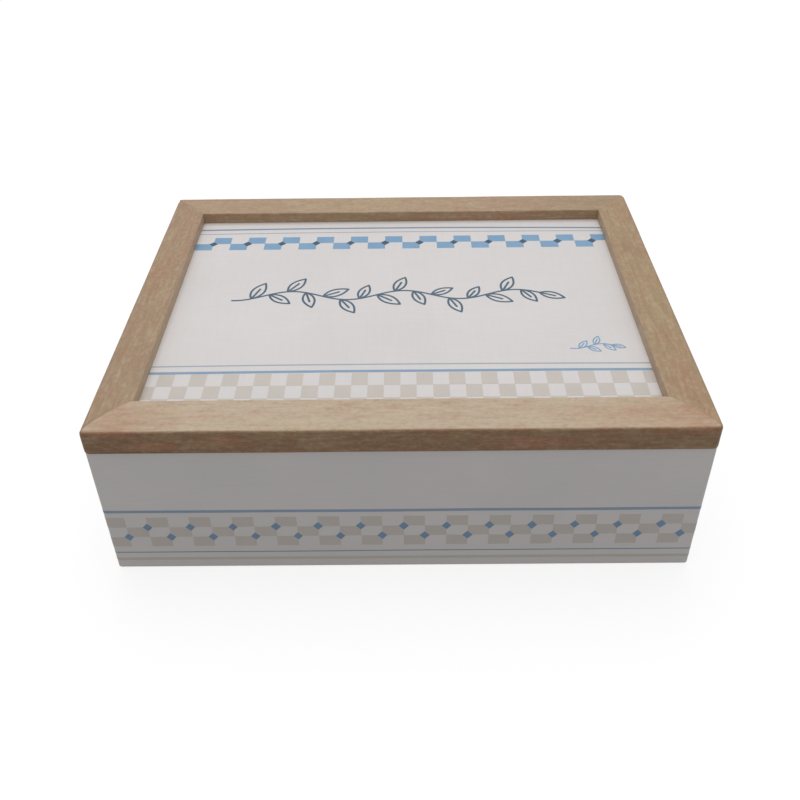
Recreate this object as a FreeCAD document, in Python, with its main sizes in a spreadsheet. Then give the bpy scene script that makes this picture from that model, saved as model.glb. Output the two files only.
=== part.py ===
"""Shut wooden tea box: a painted carcass, a mitred lid frame round a printed board, two butt hinges.

Millimetres, +Z up. The box stands on z = 0, X runs along its length, Y from its front to its back.
The origin is the middle of the carcass's foot. The shut carcass is solid: nothing opens into it.
"""

import FreeCAD, Part
import math
import os

import Sketcher
from FreeCAD import Placement, Rotation, Vector

# Driving dimensions, in millimetres. Each one becomes a cell of the sheet with this alias.
SIZES = {
    # Lid: a frame of four mitred rails with a board let into it from below
    "lid_length": 240.0,
    "lid_depth": 187.5,
    "lid_thickness": 11.0,
    "front_rail_width": 18.6,
    "back_rail_width": 17.4,
    "side_rail_width": 16.5,
    "board_sink": 5.5,
    "rebate_width": 4.0,
    "lid_corner_radius": 1.6,
    "rail_top_ease": 0.9,
    "rail_lip_ease": 0.5,
    "rail_foot_ease": 0.45,
    # Carcass, set in a little from the lid on every side
    "carcass_height": 66.0,
    "side_overhang": 0.2,
    "front_overhang": 1.1,
    "carcass_corner_radius": 1.4,
    "carcass_foot_ease": 0.7,
    "carcass_rim_ease": 0.45,
    # Bottom board, let into the carcass from below
    "wall_thickness": 8.0,
    "base_board_thickness": 3.0,
    "base_board_height": 1.2,
    "base_board_bevel": 0.6,
    # Butt hinges at the back, their leaves let into the seam
    "hinge_length": 25.0,
    "hinge_spacing": 150.0,
    "knuckle_count": 5,
    "knuckle_gap": 0.15,
    "pin_radius": 0.75,
    "pin_proud": 0.5,
    "pin_end_ease": 0.35,
    "leaf_thickness": 0.7,
    "leaf_reach": 9.0,
    "barrel_gap": 0.1,
}

# Expressions over the sheet's cells that several sub-parts share
HALF_LENGTH = "Sizes.lid_length / 2"
HALF_DEPTH = "Sizes.lid_depth / 2"
CARCASS_LENGTH = "(Sizes.lid_length - 2 * Sizes.side_overhang)"
CARCASS_DEPTH = "(Sizes.lid_depth - 2 * Sizes.front_overhang)"
BARREL_RADIUS = "(Sizes.pin_radius + Sizes.leaf_thickness)"
KNUCKLE_LENGTH = "(Sizes.hinge_length / Sizes.knuckle_count)"

# How far a cutting outline runs past the piece that it cuts
SPARE = "1"

# Lengths closer than this are equal
NEAR = 1e-4


def make_sheet(doc):
    """Fill the sheet that drives every other object."""
    sheet = doc.addObject("Spreadsheet::Sheet", "Sizes")
    for row, (alias, value) in enumerate(SIZES.items(), start=1):
        sheet.set(f"A{row}", alias)
        sheet.set(f"B{row}", str(value))
        sheet.setAlias(f"B{row}", alias)
    doc.recompute()
    return sheet


# Bodies and sketches


def make_body(doc, label):
    """Start a sub-part. Its label names its file."""
    body = doc.addObject("PartDesign::Body", label)
    body.Label = label
    return body


def place(body, base, axis=Vector(0, 0, 1), degrees=0.0):
    """Turn a body about an axis and bind its position to three expressions."""
    body.Placement = Placement(Vector(), Rotation(axis, degrees))
    for letter, expression in zip("xyz", base):
        body.setExpression(f"Placement.Base.{letter}", expression)


def make_sketch(body, name, plane, height=None):
    """Add a sketch on one of the body's origin planes, or at an expression's height above it."""
    sketch = body.newObject("Sketcher::SketchObject", name)
    roles = {feature.Role: feature for feature in body.Origin.OriginFeatures}
    sketch.AttachmentSupport = [(roles[plane], "")]
    sketch.MapMode = "FlatFace"
    if height is not None:
        sketch.setExpression("AttachmentOffset.Base.z", height)
    return sketch


def value_of(sketch, expression):
    """Work an expression out as a plain number."""
    result = sketch.evalExpression(expression)
    return float(getattr(result, "Value", result))


def point_of(sketch, pair):
    """Work a pair of expressions out as a point of the sketch."""
    x, y = pair
    return Vector(value_of(sketch, x), value_of(sketch, y), 0)


def bind(sketch, name, expression, *constraint):
    """Add a named constraint that follows an expression."""
    number = sketch.addConstraint(Sketcher.Constraint(*constraint, value_of(sketch, expression)))
    sketch.renameConstraint(number, name)
    sketch.setExpression(f"Constraints.{name}", expression)


def outline(sketch, tag, corners, arcs=None):
    """Draw a closed outline anticlockwise through corners given as pairs of expressions.

    A side is straight unless arcs holds its number, with the pair for its centre and the
    expression for its radius.
    """
    arcs = arcs or {}
    points = [point_of(sketch, corner) for corner in corners]
    sides = []
    for number, start in enumerate(points):
        end = points[(number + 1) % len(points)]
        if number in arcs:
            centre_pair, radius = arcs[number]
            centre = point_of(sketch, centre_pair)
            first = math.atan2(start.y - centre.y, start.x - centre.x)
            last = math.atan2(end.y - centre.y, end.x - centre.x)
            if last <= first:
                last += 2 * math.pi
            circle = Part.Circle(centre, Vector(0, 0, 1), value_of(sketch, radius))
            shape = Part.ArcOfCircle(circle, first, last)
        else:
            shape = Part.LineSegment(start, end)
        sides.append(sketch.addGeometry(shape, False))
    for number, side in enumerate(sides):
        following = sides[(number + 1) % len(sides)]
        sketch.addConstraint(Sketcher.Constraint("Coincident", side, 2, following, 1))
        x, y = corners[number]
        bind(sketch, f"{tag}{number}x", x, "DistanceX", -1, 1, side, 1)
        bind(sketch, f"{tag}{number}y", y, "DistanceY", -1, 1, side, 1)
        if number in arcs:
            bind(sketch, f"{tag}{number}radius", arcs[number][1], "Radius", side)


def rectangle(sketch, tag, x_low, x_high, y_low, y_high):
    """Draw a rectangle between four expressions."""
    outline(sketch, tag, [(x_low, y_low), (x_high, y_low), (x_high, y_high), (x_low, y_high)])


def disc(sketch, tag, radius):
    """Draw a circle about the sketch's origin."""
    circle = Part.Circle(Vector(), Vector(0, 0, 1), value_of(sketch, radius))
    number = sketch.addGeometry(circle, False)
    sketch.addConstraint(Sketcher.Constraint("Coincident", number, 3, -1, 1))
    bind(sketch, f"{tag}radius", radius, "Radius", number)


# Features


def pad(body, name, sketch, length, symmetric=False):
    """Raise a sketch by an expression, to one side or to both."""
    feature = body.newObject("PartDesign::Pad", name)
    feature.Profile = sketch
    feature.SideType = "Symmetric" if symmetric else "One side"
    feature.setExpression("Length", length)
    body.Document.recompute()
    return feature


def pocket(body, name, sketch, depth, upward=False, symmetric=False):
    """Cut a sketch into the body by an expression's depth, and check that it did cut."""
    before = body.Shape.Volume
    feature = body.newObject("PartDesign::Pocket", name)
    feature.Profile = sketch
    feature.SideType = "Symmetric" if symmetric else "One side"
    feature.Reversed = upward
    feature.setExpression("Length", depth)
    body.Document.recompute()
    if body.Shape.Volume > before - NEAR:
        raise RuntimeError(f"{body.Label}: {name} cut nothing")
    return feature


def ease(body, name, kind, size, choose):
    """Round or bevel the edges that a test on their bounding box picks."""
    edges = body.Tip.Shape.Edges
    names = [f"Edge{i}" for i, edge in enumerate(edges, start=1) if choose(edge.BoundBox)]
    if not names:
        raise RuntimeError(f"{body.Label}: {name} found no edge")
    base = body.Tip
    feature = body.newObject(f"PartDesign::{kind}", name)
    feature.Base = (base, names)
    feature.setExpression("Radius" if kind == "Fillet" else "Size", size)
    body.Document.recompute()
    return feature


def level(low, high, wanted):
    """Tell whether an edge's two limits along one axis both lie at the wanted value."""
    return abs(low - wanted) < NEAR and abs(high - wanted) < NEAR


# Lid


def hinge_mortises(body, height, y_low, y_high, cut_up):
    """Sink the seats of two hinge leaves into the body's back edge, at an expression's height."""
    sketch = make_sketch(body, "MortiseSketch", "XY_Plane", height)
    for side, sign in (("left", -1), ("right", 1)):
        middle = f"{sign} * Sizes.hinge_spacing / 2"
        x_low = f"{middle} - Sizes.hinge_length / 2"
        x_high = f"{middle} + Sizes.hinge_length / 2"
        rectangle(sketch, side, x_low, x_high, y_low, y_high)
    pocket(body, "HingeMortises", sketch, "Sizes.leaf_thickness", upward=cut_up)


def lid_rail(doc, label, length, breadth, ends, position, degrees, hinged=False):
    """Make one rail: mitred at both ends, rebated below its lip, its edges sanded soft.

    In its own frame the rail runs along X, its outer face is y = 0 and its foot z = 0. The
    breadth is the alias of its own width. The ends are the aliases of the widths of the rails
    that meet its left and right end, as far as which each mitre runs.
    """
    body = make_body(doc, label)
    end = f"({length} / 2)"
    corner = "Sizes.lid_corner_radius"
    tip = f"{corner} * (1 - 1 / sqrt(2))"
    width = f"Sizes.{breadth}"
    left_cut, right_cut = (f"Sizes.{neighbour}" for neighbour in ends)
    plan = make_sketch(body, "PlanSketch", "XY_Plane")
    outline(
        plan,
        "plan",
        [
            (f"-{end} + {tip}", tip),
            (f"-{end} + {corner}", "0"),
            (f"{end} - {corner}", "0"),
            (f"{end} - {tip}", tip),
            (f"{end} - {right_cut}", width),
            (f"-{end} + {left_cut}", width),
        ],
        arcs={
            0: ((f"-{end} + {corner}", corner), corner),
            2: ((f"{end} - {corner}", corner), corner),
        },
    )
    pad(body, "Rail", plan, "Sizes.lid_thickness")

    rebate = make_sketch(body, "RebateSketch", "XY_Plane")
    rectangle(rebate, "rebate", f"-{end}", end, f"{width} - Sizes.rebate_width", f"{width} + {SPARE}")
    pocket(body, "Rebate", rebate, "Sizes.board_sink", upward=True)

    top = SIZES["lid_thickness"]
    lip = SIZES[breadth]
    rounding = SIZES["lid_corner_radius"]
    ease(
        body,
        "TopEase",
        "Fillet",
        "Sizes.rail_top_ease",
        lambda box: level(box.ZMin, box.ZMax, top) and box.YMax < rounding,
    )
    ease(
        body,
        "LipEase",
        "Fillet",
        "Sizes.rail_lip_ease",
        lambda box: level(box.ZMin, box.ZMax, top) and level(box.YMin, box.YMax, lip),
    )
    ease(
        body,
        "FootEase",
        "Fillet",
        "Sizes.rail_foot_ease",
        lambda box: level(box.ZMin, box.ZMax, 0) and box.YMax < rounding,
    )
    if hinged:
        hinge_mortises(body, "0", f"-{SPARE}", "Sizes.leaf_reach", cut_up=True)
    place(body, position, degrees=degrees)
    return body


def lid_rails(doc):
    """Make the four rails, named by the side of the box that they lie on."""
    foot = "Sizes.carcass_height"
    long_rail, short_rail = "Sizes.lid_length", "Sizes.lid_depth"
    front, side, back = "front_rail_width", "side_rail_width", "back_rail_width"
    at_front, at_right = ("0", f"-{HALF_DEPTH}", foot), (HALF_LENGTH, "0", foot)
    at_back, at_left = ("0", HALF_DEPTH, foot), (f"-{HALF_LENGTH}", "0", foot)
    return [
        lid_rail(doc, "lid_rail_front", long_rail, front, (side, side), at_front, 0),
        lid_rail(doc, "lid_rail_right", short_rail, side, (front, back), at_right, 90),
        lid_rail(doc, "lid_rail_back", long_rail, back, (side, side), at_back, 180, hinged=True),
        lid_rail(doc, "lid_rail_left", short_rail, side, (back, front), at_left, 270),
    ]


def lid_board(doc):
    """Make the board that fills the rebates and shows, sunk, inside the frame."""
    body = make_body(doc, "lid_board")
    half_x = f"({HALF_LENGTH} - Sizes.side_rail_width + Sizes.rebate_width)"
    front_edge = f"Sizes.front_rail_width - Sizes.rebate_width - {HALF_DEPTH}"
    back_edge = f"{HALF_DEPTH} - Sizes.back_rail_width + Sizes.rebate_width"
    sketch = make_sketch(body, "BoardSketch", "XY_Plane")
    rectangle(sketch, "board", f"-{half_x}", half_x, front_edge, back_edge)
    pad(body, "Board", sketch, "Sizes.board_sink")
    place(body, ("0", "0", "Sizes.carcass_height"))
    return body


# Carcass


def carcass(doc):
    """Make the shut carcass: softened edges, a seat for the bottom board, two hinge mortises."""
    body = make_body(doc, "carcass")
    half_x, half_y = f"{CARCASS_LENGTH} / 2", f"{CARCASS_DEPTH} / 2"
    plan = make_sketch(body, "PlanSketch", "XY_Plane")
    rectangle(plan, "plan", f"-{half_x}", half_x, f"-{half_y}", half_y)
    pad(body, "Block", plan, "Sizes.carcass_height")

    rim = SIZES["carcass_height"]
    ease(
        body,
        "CornerEase",
        "Fillet",
        "Sizes.carcass_corner_radius",
        lambda box: box.ZLength > rim / 2,
    )
    ease(
        body,
        "FootEase",
        "Fillet",
        "Sizes.carcass_foot_ease",
        lambda box: level(box.ZMin, box.ZMax, 0),
    )
    ease(
        body,
        "RimEase",
        "Fillet",
        "Sizes.carcass_rim_ease",
        lambda box: level(box.ZMin, box.ZMax, rim),
    )

    seat_x, seat_y = f"({half_x} - Sizes.wall_thickness)", f"({half_y} - Sizes.wall_thickness)"
    seat = make_sketch(body, "SeatSketch", "XY_Plane")
    rectangle(seat, "seat", f"-{seat_x}", seat_x, f"-{seat_y}", seat_y)
    depth = "Sizes.base_board_height + Sizes.base_board_thickness"
    pocket(body, "BoardSeat", seat, depth, upward=True)
    leaf_end = f"{half_y} + Sizes.front_overhang - Sizes.leaf_reach"
    hinge_mortises(body, "Sizes.carcass_height", leaf_end, f"{half_y} + {SPARE}", cut_up=False)
    return body


def base_board(doc):
    """Make the thin bottom board, bevelled round its lower face."""
    body = make_body(doc, "base_board")
    half_x = f"({CARCASS_LENGTH} / 2 - Sizes.wall_thickness)"
    half_y = f"({CARCASS_DEPTH} / 2 - Sizes.wall_thickness)"
    sketch = make_sketch(body, "BoardSketch", "XY_Plane")
    rectangle(sketch, "board", f"-{half_x}", half_x, f"-{half_y}", half_y)
    pad(body, "Board", sketch, "Sizes.base_board_thickness")
    ease(
        body,
        "Bevel",
        "Chamfer",
        "Sizes.base_board_bevel",
        lambda box: level(box.ZMin, box.ZMax, 0),
    )
    place(body, ("0", "0", "Sizes.base_board_height"))
    return body


# Hinges


def pin_position(sign):
    """Give the place of a hinge pin's middle: just behind the lid, level with the seam."""
    middle = f"{sign} * Sizes.hinge_spacing / 2"
    behind = f"{HALF_DEPTH} + {BARREL_RADIUS} + Sizes.barrel_gap"
    return (middle, behind, "Sizes.carcass_height")


def hinge_leaf(doc, label, sign, first_gap, gap_count, flipped):
    """Make one leaf: a plate rolled into a barrel, cut back where the other leaf's knuckles sit.

    In its own frame the pin's axis is X and the plate lies on z = 0, towards -Y. first_gap is
    the number of the first knuckle that belongs to the other leaf.
    """
    body = make_body(doc, label)
    root = f"-({BARREL_RADIUS} + Sizes.barrel_gap + Sizes.leaf_reach)"
    tangent = f"-sqrt({BARREL_RADIUS}^2 - Sizes.leaf_thickness^2)"
    profile = make_sketch(body, "ProfileSketch", "YZ_Plane")
    outline(
        profile,
        "leaf",
        [
            (root, "0"),
            (f"-{BARREL_RADIUS}", "0"),
            (tangent, "Sizes.leaf_thickness"),
            (root, "Sizes.leaf_thickness"),
        ],
        arcs={1: (("0", "0"), BARREL_RADIUS)},
    )
    disc(profile, "eye", "Sizes.pin_radius")
    pad(body, "RolledPlate", profile, "Sizes.hinge_length", symmetric=True)

    start = f"-Sizes.hinge_length / 2 + {first_gap} * {KNUCKLE_LENGTH}"
    slot = make_sketch(body, "KnuckleGapSketch", "XY_Plane")
    for number in range(gap_count):
        low = f"{start} + {2 * number} * {KNUCKLE_LENGTH} - Sizes.knuckle_gap / 2"
        high = f"{start} + {2 * number + 1} * {KNUCKLE_LENGTH} + Sizes.knuckle_gap / 2"
        clear = f"({BARREL_RADIUS} + Sizes.barrel_gap)"
        rectangle(slot, f"gap{number}side", low, high, f"-{clear}", clear)
    pocket(body, "KnuckleGaps", slot, f"4 * {BARREL_RADIUS}", symmetric=True)
    place(body, pin_position(sign), Vector(0, 1, 0), 180.0 if flipped else 0.0)
    return body


def hinge_pin(doc, label, sign):
    """Make the pin, a little proud of the barrel and rounded at both ends."""
    body = make_body(doc, label)
    sketch = make_sketch(body, "PinSketch", "YZ_Plane")
    disc(sketch, "pin", "Sizes.pin_radius")
    pad(body, "Pin", sketch, "Sizes.hinge_length + 2 * Sizes.pin_proud", symmetric=True)
    ease(body, "EndEase", "Fillet", "Sizes.pin_end_ease", lambda box: box.XLength < NEAR)
    place(body, pin_position(sign))
    return body


def hinges(doc):
    """Make the two hinges: the carcass leaf has the odd knuckles and the lid leaf the even ones."""
    even = int(SIZES["knuckle_count"]) // 2
    parts = []
    for side, sign in (("left", -1), ("right", 1)):
        name = f"hinge_{side}"
        parts.append(hinge_leaf(doc, f"{name}_lid_leaf", sign, 0, even + 1, flipped=False))
        parts.append(hinge_leaf(doc, f"{name}_carcass_leaf", sign, 1, even, flipped=True))
        parts.append(hinge_pin(doc, f"{name}_pin", sign))
    return parts


# Checking and writing


def check(doc, bodies):
    """Stop if any object failed or any sub-part isn't one valid solid."""
    for item in doc.Objects:
        if "Invalid" in item.State or "Error" in item.State:
            raise RuntimeError(f"{item.Label} failed: {item.State}")
    for body in bodies:
        shape = body.Shape
        if shape.isNull() or not shape.isValid() or len(shape.Solids) != 1:
            raise RuntimeError(f"{body.Label} isn't one valid solid")


def write(bodies):
    """Write each sub-part's solid, in its place, to a file of its own."""
    os.makedirs("parts", exist_ok=True)
    for body in bodies:
        body.Shape.exportStep(os.path.join("parts", f"{body.Label}.step"))
        box = body.Shape.BoundBox
        print(f"{body.Label}: {box.XLength:.2f} x {box.YLength:.2f} x {box.ZLength:.2f} mm")


def main():
    """Build the box, check it and write its sub-parts."""
    doc = FreeCAD.newDocument("TeaBox")
    make_sheet(doc)
    bodies = [carcass(doc), base_board(doc), *lid_rails(doc), lid_board(doc), *hinges(doc)]
    doc.recompute()
    check(doc, bodies)
    write(bodies)


if __name__ == "__main__":
    main()
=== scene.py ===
"""Looks of a shut wooden tea box: mitred rails, a printed lid board, a painted carcass, two hinges.

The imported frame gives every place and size. Each piece is a mesh in that frame, in metres.
"""

import logging
import math
from abc import ABC, abstractmethod
from collections.abc import Callable, Iterable, Mapping
from dataclasses import dataclass, field
from enum import Enum
from typing import ClassVar

import bmesh
import bpy
from mathutils import Matrix, Vector


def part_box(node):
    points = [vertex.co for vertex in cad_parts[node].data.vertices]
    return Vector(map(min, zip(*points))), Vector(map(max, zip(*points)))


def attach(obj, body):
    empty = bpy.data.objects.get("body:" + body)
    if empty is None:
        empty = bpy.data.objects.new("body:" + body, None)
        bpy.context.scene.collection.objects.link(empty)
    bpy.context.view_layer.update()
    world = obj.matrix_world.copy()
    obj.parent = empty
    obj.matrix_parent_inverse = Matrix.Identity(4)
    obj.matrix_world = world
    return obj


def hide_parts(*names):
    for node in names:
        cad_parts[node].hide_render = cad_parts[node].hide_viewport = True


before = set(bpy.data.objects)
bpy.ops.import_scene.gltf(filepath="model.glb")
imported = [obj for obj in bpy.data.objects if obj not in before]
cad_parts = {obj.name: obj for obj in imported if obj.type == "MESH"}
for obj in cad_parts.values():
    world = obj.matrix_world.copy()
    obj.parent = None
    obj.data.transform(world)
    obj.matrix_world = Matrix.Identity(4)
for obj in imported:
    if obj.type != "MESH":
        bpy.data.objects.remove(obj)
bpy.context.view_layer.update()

LOG = logging.getLogger("tea_box")
MM = 0.001
RAIL_PLACE = "rail_place"  # The attribute that holds a rail's own coordinates

Colour = tuple[float, float, float, float]
Triple = tuple[float, float, float]
Sockets = Mapping[str | int, object]
Sizes = Mapping[str, float | int]
Placed = tuple[bpy.types.Mesh, Matrix]


def linear(share: float) -> float:
    """Turn a channel of a colour chart, from 0 to 1, into linear light."""
    return share / 12.92 if share <= 0.04045 else ((share + 0.055) / 1.055) ** 2.4


def shade(red: int, green: int, blue: int) -> Colour:
    """Turn a colour chart's numbers, 0 to 255 a channel, into linear light."""
    return (*(linear(channel / 255) for channel in (red, green, blue)), 1.0)


def millimetres(**lengths: float) -> dict[str, float]:
    """Name a tree's lengths and turn them from millimetres into metres."""
    return {name.replace("_", " ").title(): length * MM for name, length in lengths.items()}


def stand(name: str, data: bpy.types.ID) -> bpy.types.Object:
    """Put a new object with this data into the scene.

    Args:
        name: The object's name.
        data: Its mesh, lamp or camera.

    Returns:
        The object.
    """
    made = bpy.data.objects.new(name, data)
    bpy.context.scene.collection.objects.link(made)
    return made


def empty_tree(owner: bpy.types.Material | bpy.types.World) -> bpy.types.NodeTree:
    """Give a material or world an empty tree.

    Args:
        owner: The material or world.

    Returns:
        Its tree.
    """
    owner.use_nodes = True
    owner.node_tree.nodes.clear()
    return owner.node_tree


# Node trees written as Python


def maths(operation: str, flipped: bool = False) -> Callable[..., "Value"]:
    """Make a method of Value that adds a Math node.

    Args:
        operation: The node's operation.
        flipped: Whether the value itself comes last, as in 1 - value.

    Returns:
        The method. It takes what the node's other inputs hold.
    """

    def method(self: "Value", *others: "Value | float") -> "Value":
        """Add the node and give its result."""
        operands = enumerate((*others, self) if flipped else (self, *others))
        return self.net.node("ShaderNodeMath", {"operation": operation}, dict(operands)).value()

    return method


class Value:
    """A socket that holds a number, on which maths can be written."""

    __add__ = maths("ADD")
    __radd__ = maths("ADD", flipped=True)
    __sub__ = maths("SUBTRACT")
    __rsub__ = maths("SUBTRACT", flipped=True)
    __mul__ = maths("MULTIPLY")
    __rmul__ = maths("MULTIPLY", flipped=True)
    __truediv__ = maths("DIVIDE")
    __mod__ = maths("MODULO")
    __pow__ = maths("POWER")
    __abs__ = maths("ABSOLUTE")
    sign = maths("SIGN")
    sine = maths("SINE")
    cosine = maths("COSINE")
    heading = maths("ARCTAN2")  # Of a direction: its Y, then its X
    root = maths("SQRT")
    at_least = maths("MAXIMUM")
    at_most = maths("MINIMUM")
    above = maths("GREATER_THAN")  # 1 where the value is over the limit, else 0

    def __init__(self, net: "Net", socket: bpy.types.NodeSocket) -> None:
        """Wrap a socket of a tree."""
        self.net = net
        self.socket = socket

    def within(self, low: "Value | float", high: "Value | float") -> "Value":
        """Hold the number between two limits."""
        return self.at_least(low).at_most(high)

    def ramp(self, start: float, end: float) -> "Value":
        """Rise smoothly from 0 to 1 between two values. Where start is the greater it falls instead.

        Args:
            start: Where the result is 0.
            end: Where the result is 1.

        Returns:
            The eased share.
        """
        settings = {"interpolation_type": "SMOOTHSTEP"}
        sockets = {"Value": self, "From Min": min(start, end), "From Max": max(start, end)}
        rising = self.net.node("ShaderNodeMapRange", settings, sockets).value()
        return rising if start <= end else 1 - rising


def find(sockets: bpy.types.bpy_prop_collection, key: str | int) -> bpy.types.NodeSocket:
    """Find one of a node's sockets.

    Args:
        sockets: The node's inputs or outputs.
        key: The socket's number, or its name among those in use.

    Returns:
        The socket.
    """
    if isinstance(key, int):
        return sockets[key]
    return next(socket for socket in sockets if socket.name == key and socket.enabled)


class Step:
    """A node, whose outputs are read by name or number."""

    def __init__(self, net: "Net", node: bpy.types.Node) -> None:
        """Wrap a node of a tree."""
        self.net = net
        self.node = node

    @property
    def socket(self) -> bpy.types.NodeSocket:
        """Give the first output."""
        return self.out()

    def out(self, key: str | int = 0) -> bpy.types.NodeSocket:
        """Give an output."""
        return find(self.node.outputs, key)

    def value(self, key: str | int = 0) -> Value:
        """Give an output as a number to reckon with."""
        return Value(self.net, self.out(key))


class Net:
    """A shader or geometry tree that grows node by node."""

    def __init__(self, tree: bpy.types.NodeTree) -> None:
        """Take an empty tree."""
        self.tree = tree

    def node(
        self, kind: str, settings: Mapping[str, object] | None = None, sockets: Sockets | None = None
    ) -> Step:
        """Add a node.

        Args:
            kind: The node's type.
            settings: Its own settings, set before its sockets.
            sockets: The value or link of each input, by name or number.

        Returns:
            The node.
        """
        made = self.tree.nodes.new(kind)
        for name, setting in (settings or {}).items():
            setattr(made, name, setting)
        for key, held in (sockets or {}).items():
            self.feed(find(made.inputs, key), held)
        return Step(self, made)

    def feed(self, socket: bpy.types.NodeSocket, held: object) -> None:
        """Give an input a link, several links or a plain value.

        Args:
            socket: The input.
            held: A node, one of its outputs, a list of these, or a value.
        """
        held = getattr(held, "socket", held)
        if isinstance(held, bpy.types.NodeSocket):
            self.tree.links.new(held, socket)
        elif isinstance(held, list):
            for one in held:
                self.feed(socket, one)
        else:
            socket.default_value = held

    def vector(self, x: Value | float, y: Value | float, z: Value | float) -> Step:
        """Put three numbers together."""
        return self.node("ShaderNodeCombineXYZ", sockets={"X": x, "Y": y, "Z": z})

    def parts(self, vector: object) -> tuple[Value, Value, Value]:
        """Take a vector apart."""
        split = self.node("ShaderNodeSeparateXYZ", sockets={"Vector": vector})
        return split.value("X"), split.value("Y"), split.value("Z")

    def mix(self, share: Value | float, low: object, high: object) -> bpy.types.NodeSocket:
        """Mix two colours, of which the second shows by the share."""
        sockets = {"Factor": share, "A": low, "B": high}
        return self.node("ShaderNodeMix", {"data_type": "RGBA"}, sockets).out("Result")

    def vectors(self, operation: str, *held: object) -> Step:
        """Add a Vector Math node."""
        return self.node("ShaderNodeVectorMath", {"operation": operation}, dict(enumerate(held)))


# Surfaces


@dataclass(frozen=True)
class Pattern:
    """A noise: how often it changes in a metre along each axis, its finer layers and their strength."""

    scale: Triple
    detail: float = 2.0
    rough: float = 0.5


@dataclass(frozen=True)
class Patch:
    """A soft patch where a rail's colour differs, in a rail's own coordinates, in millimetres. Some dark
    patches are painted shadow.
    """

    centre: Triple
    reach: Triple
    strength: float


class SurfaceNet(Net):
    """A material's tree, with the patterns that the finishes share."""

    def place(self) -> bpy.types.NodeSocket:
        """Read the piece's own coordinates, in metres."""
        return self.node("ShaderNodeTexCoord").out("Object")

    def noise(self, where: object, pattern: Pattern) -> Value:
        """Lay a noise, about 0.5 on average.

        Args:
            where: The coordinates.
            pattern: What the noise is like.

        Returns:
            The noise.
        """
        placed = self.node("ShaderNodeMapping", sockets={"Vector": where, "Scale": pattern.scale})
        sockets = {"Vector": placed, "Scale": 1.0, "Detail": pattern.detail, "Roughness": pattern.rough}
        return self.node("ShaderNodeTexNoise", sockets=sockets).value("Fac")

    def noises(self, where: object, *patterns: Pattern) -> list[Value]:
        """Lay several noises on the same coordinates."""
        return [self.noise(where, pattern) for pattern in patterns]

    def bump(self, *layers: tuple[Value, float]) -> Step:
        """Turn heights into a bumped normal.

        Args:
            layers: Each height, from 0 to 1, and how deep a height of 1 is, in metres.

        Returns:
            The last bump, which adds to those before it.
        """
        under: dict[str, Step] = {}
        for height, depth in layers:
            skin = self.node("ShaderNodeBump", sockets={"Height": height, "Distance": depth, **under})
            under = {"Normal": skin}
        return skin

    def blob(self, where: object, patch: Patch) -> Value:
        """Give a soft oval patch.

        Args:
            where: The rail's own coordinates.
            patch: The patch.

        Returns:
            The patch's strength in its middle, falling to 0 at its reach.
        """
        moved = self.vectors("SUBTRACT", where, Vector(patch.centre) * MM)
        scaled = self.vectors("DIVIDE", moved, Vector(patch.reach) * MM)
        return self.vectors("LENGTH", scaled).value("Value").ramp(1.0, 0.0) * patch.strength

    def blobs(self, where: object, patches: Iterable[Patch]) -> Value | float:
        """Add up the patches of one tone."""
        return sum(self.blob(where, patch) for patch in patches)


@dataclass(frozen=True)
class Finish(ABC):
    """A surface: its name and the shader that gives its looks."""

    name: str

    @abstractmethod
    def lay(self, net: SurfaceNet) -> Sockets:
        """Draw the looks.

        Args:
            net: The material's tree.

        Returns:
            The values and links of the shader's sockets.
        """

    def material(self) -> bpy.types.Material:
        """Make the material.

        Returns:
            The material, with its whole tree.
        """
        made = bpy.data.materials.new(self.name)
        net = SurfaceNet(empty_tree(made))
        shader = net.node("ShaderNodeBsdfPrincipled", sockets=self.lay(net))
        net.node("ShaderNodeOutputMaterial", sockets={"Surface": shader})
        return made


@dataclass(frozen=True)
class Stick:
    """The stick that a rail was cut from: its tones, where its figure starts, and its patches. The outer
    face's tone is partly the wood's own and partly painted shade; the inner wall's tone is painted light
    and shade; a dark patch can be a painted shadow.
    """

    top_tone: Colour
    face_tone_and_painted_shade: Colour
    wall_painted_light_and_shade: Colour
    shift: float
    red_patches: tuple[Patch, ...] = ()
    dark_and_shadow_patches: tuple[Patch, ...] = ()


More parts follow.
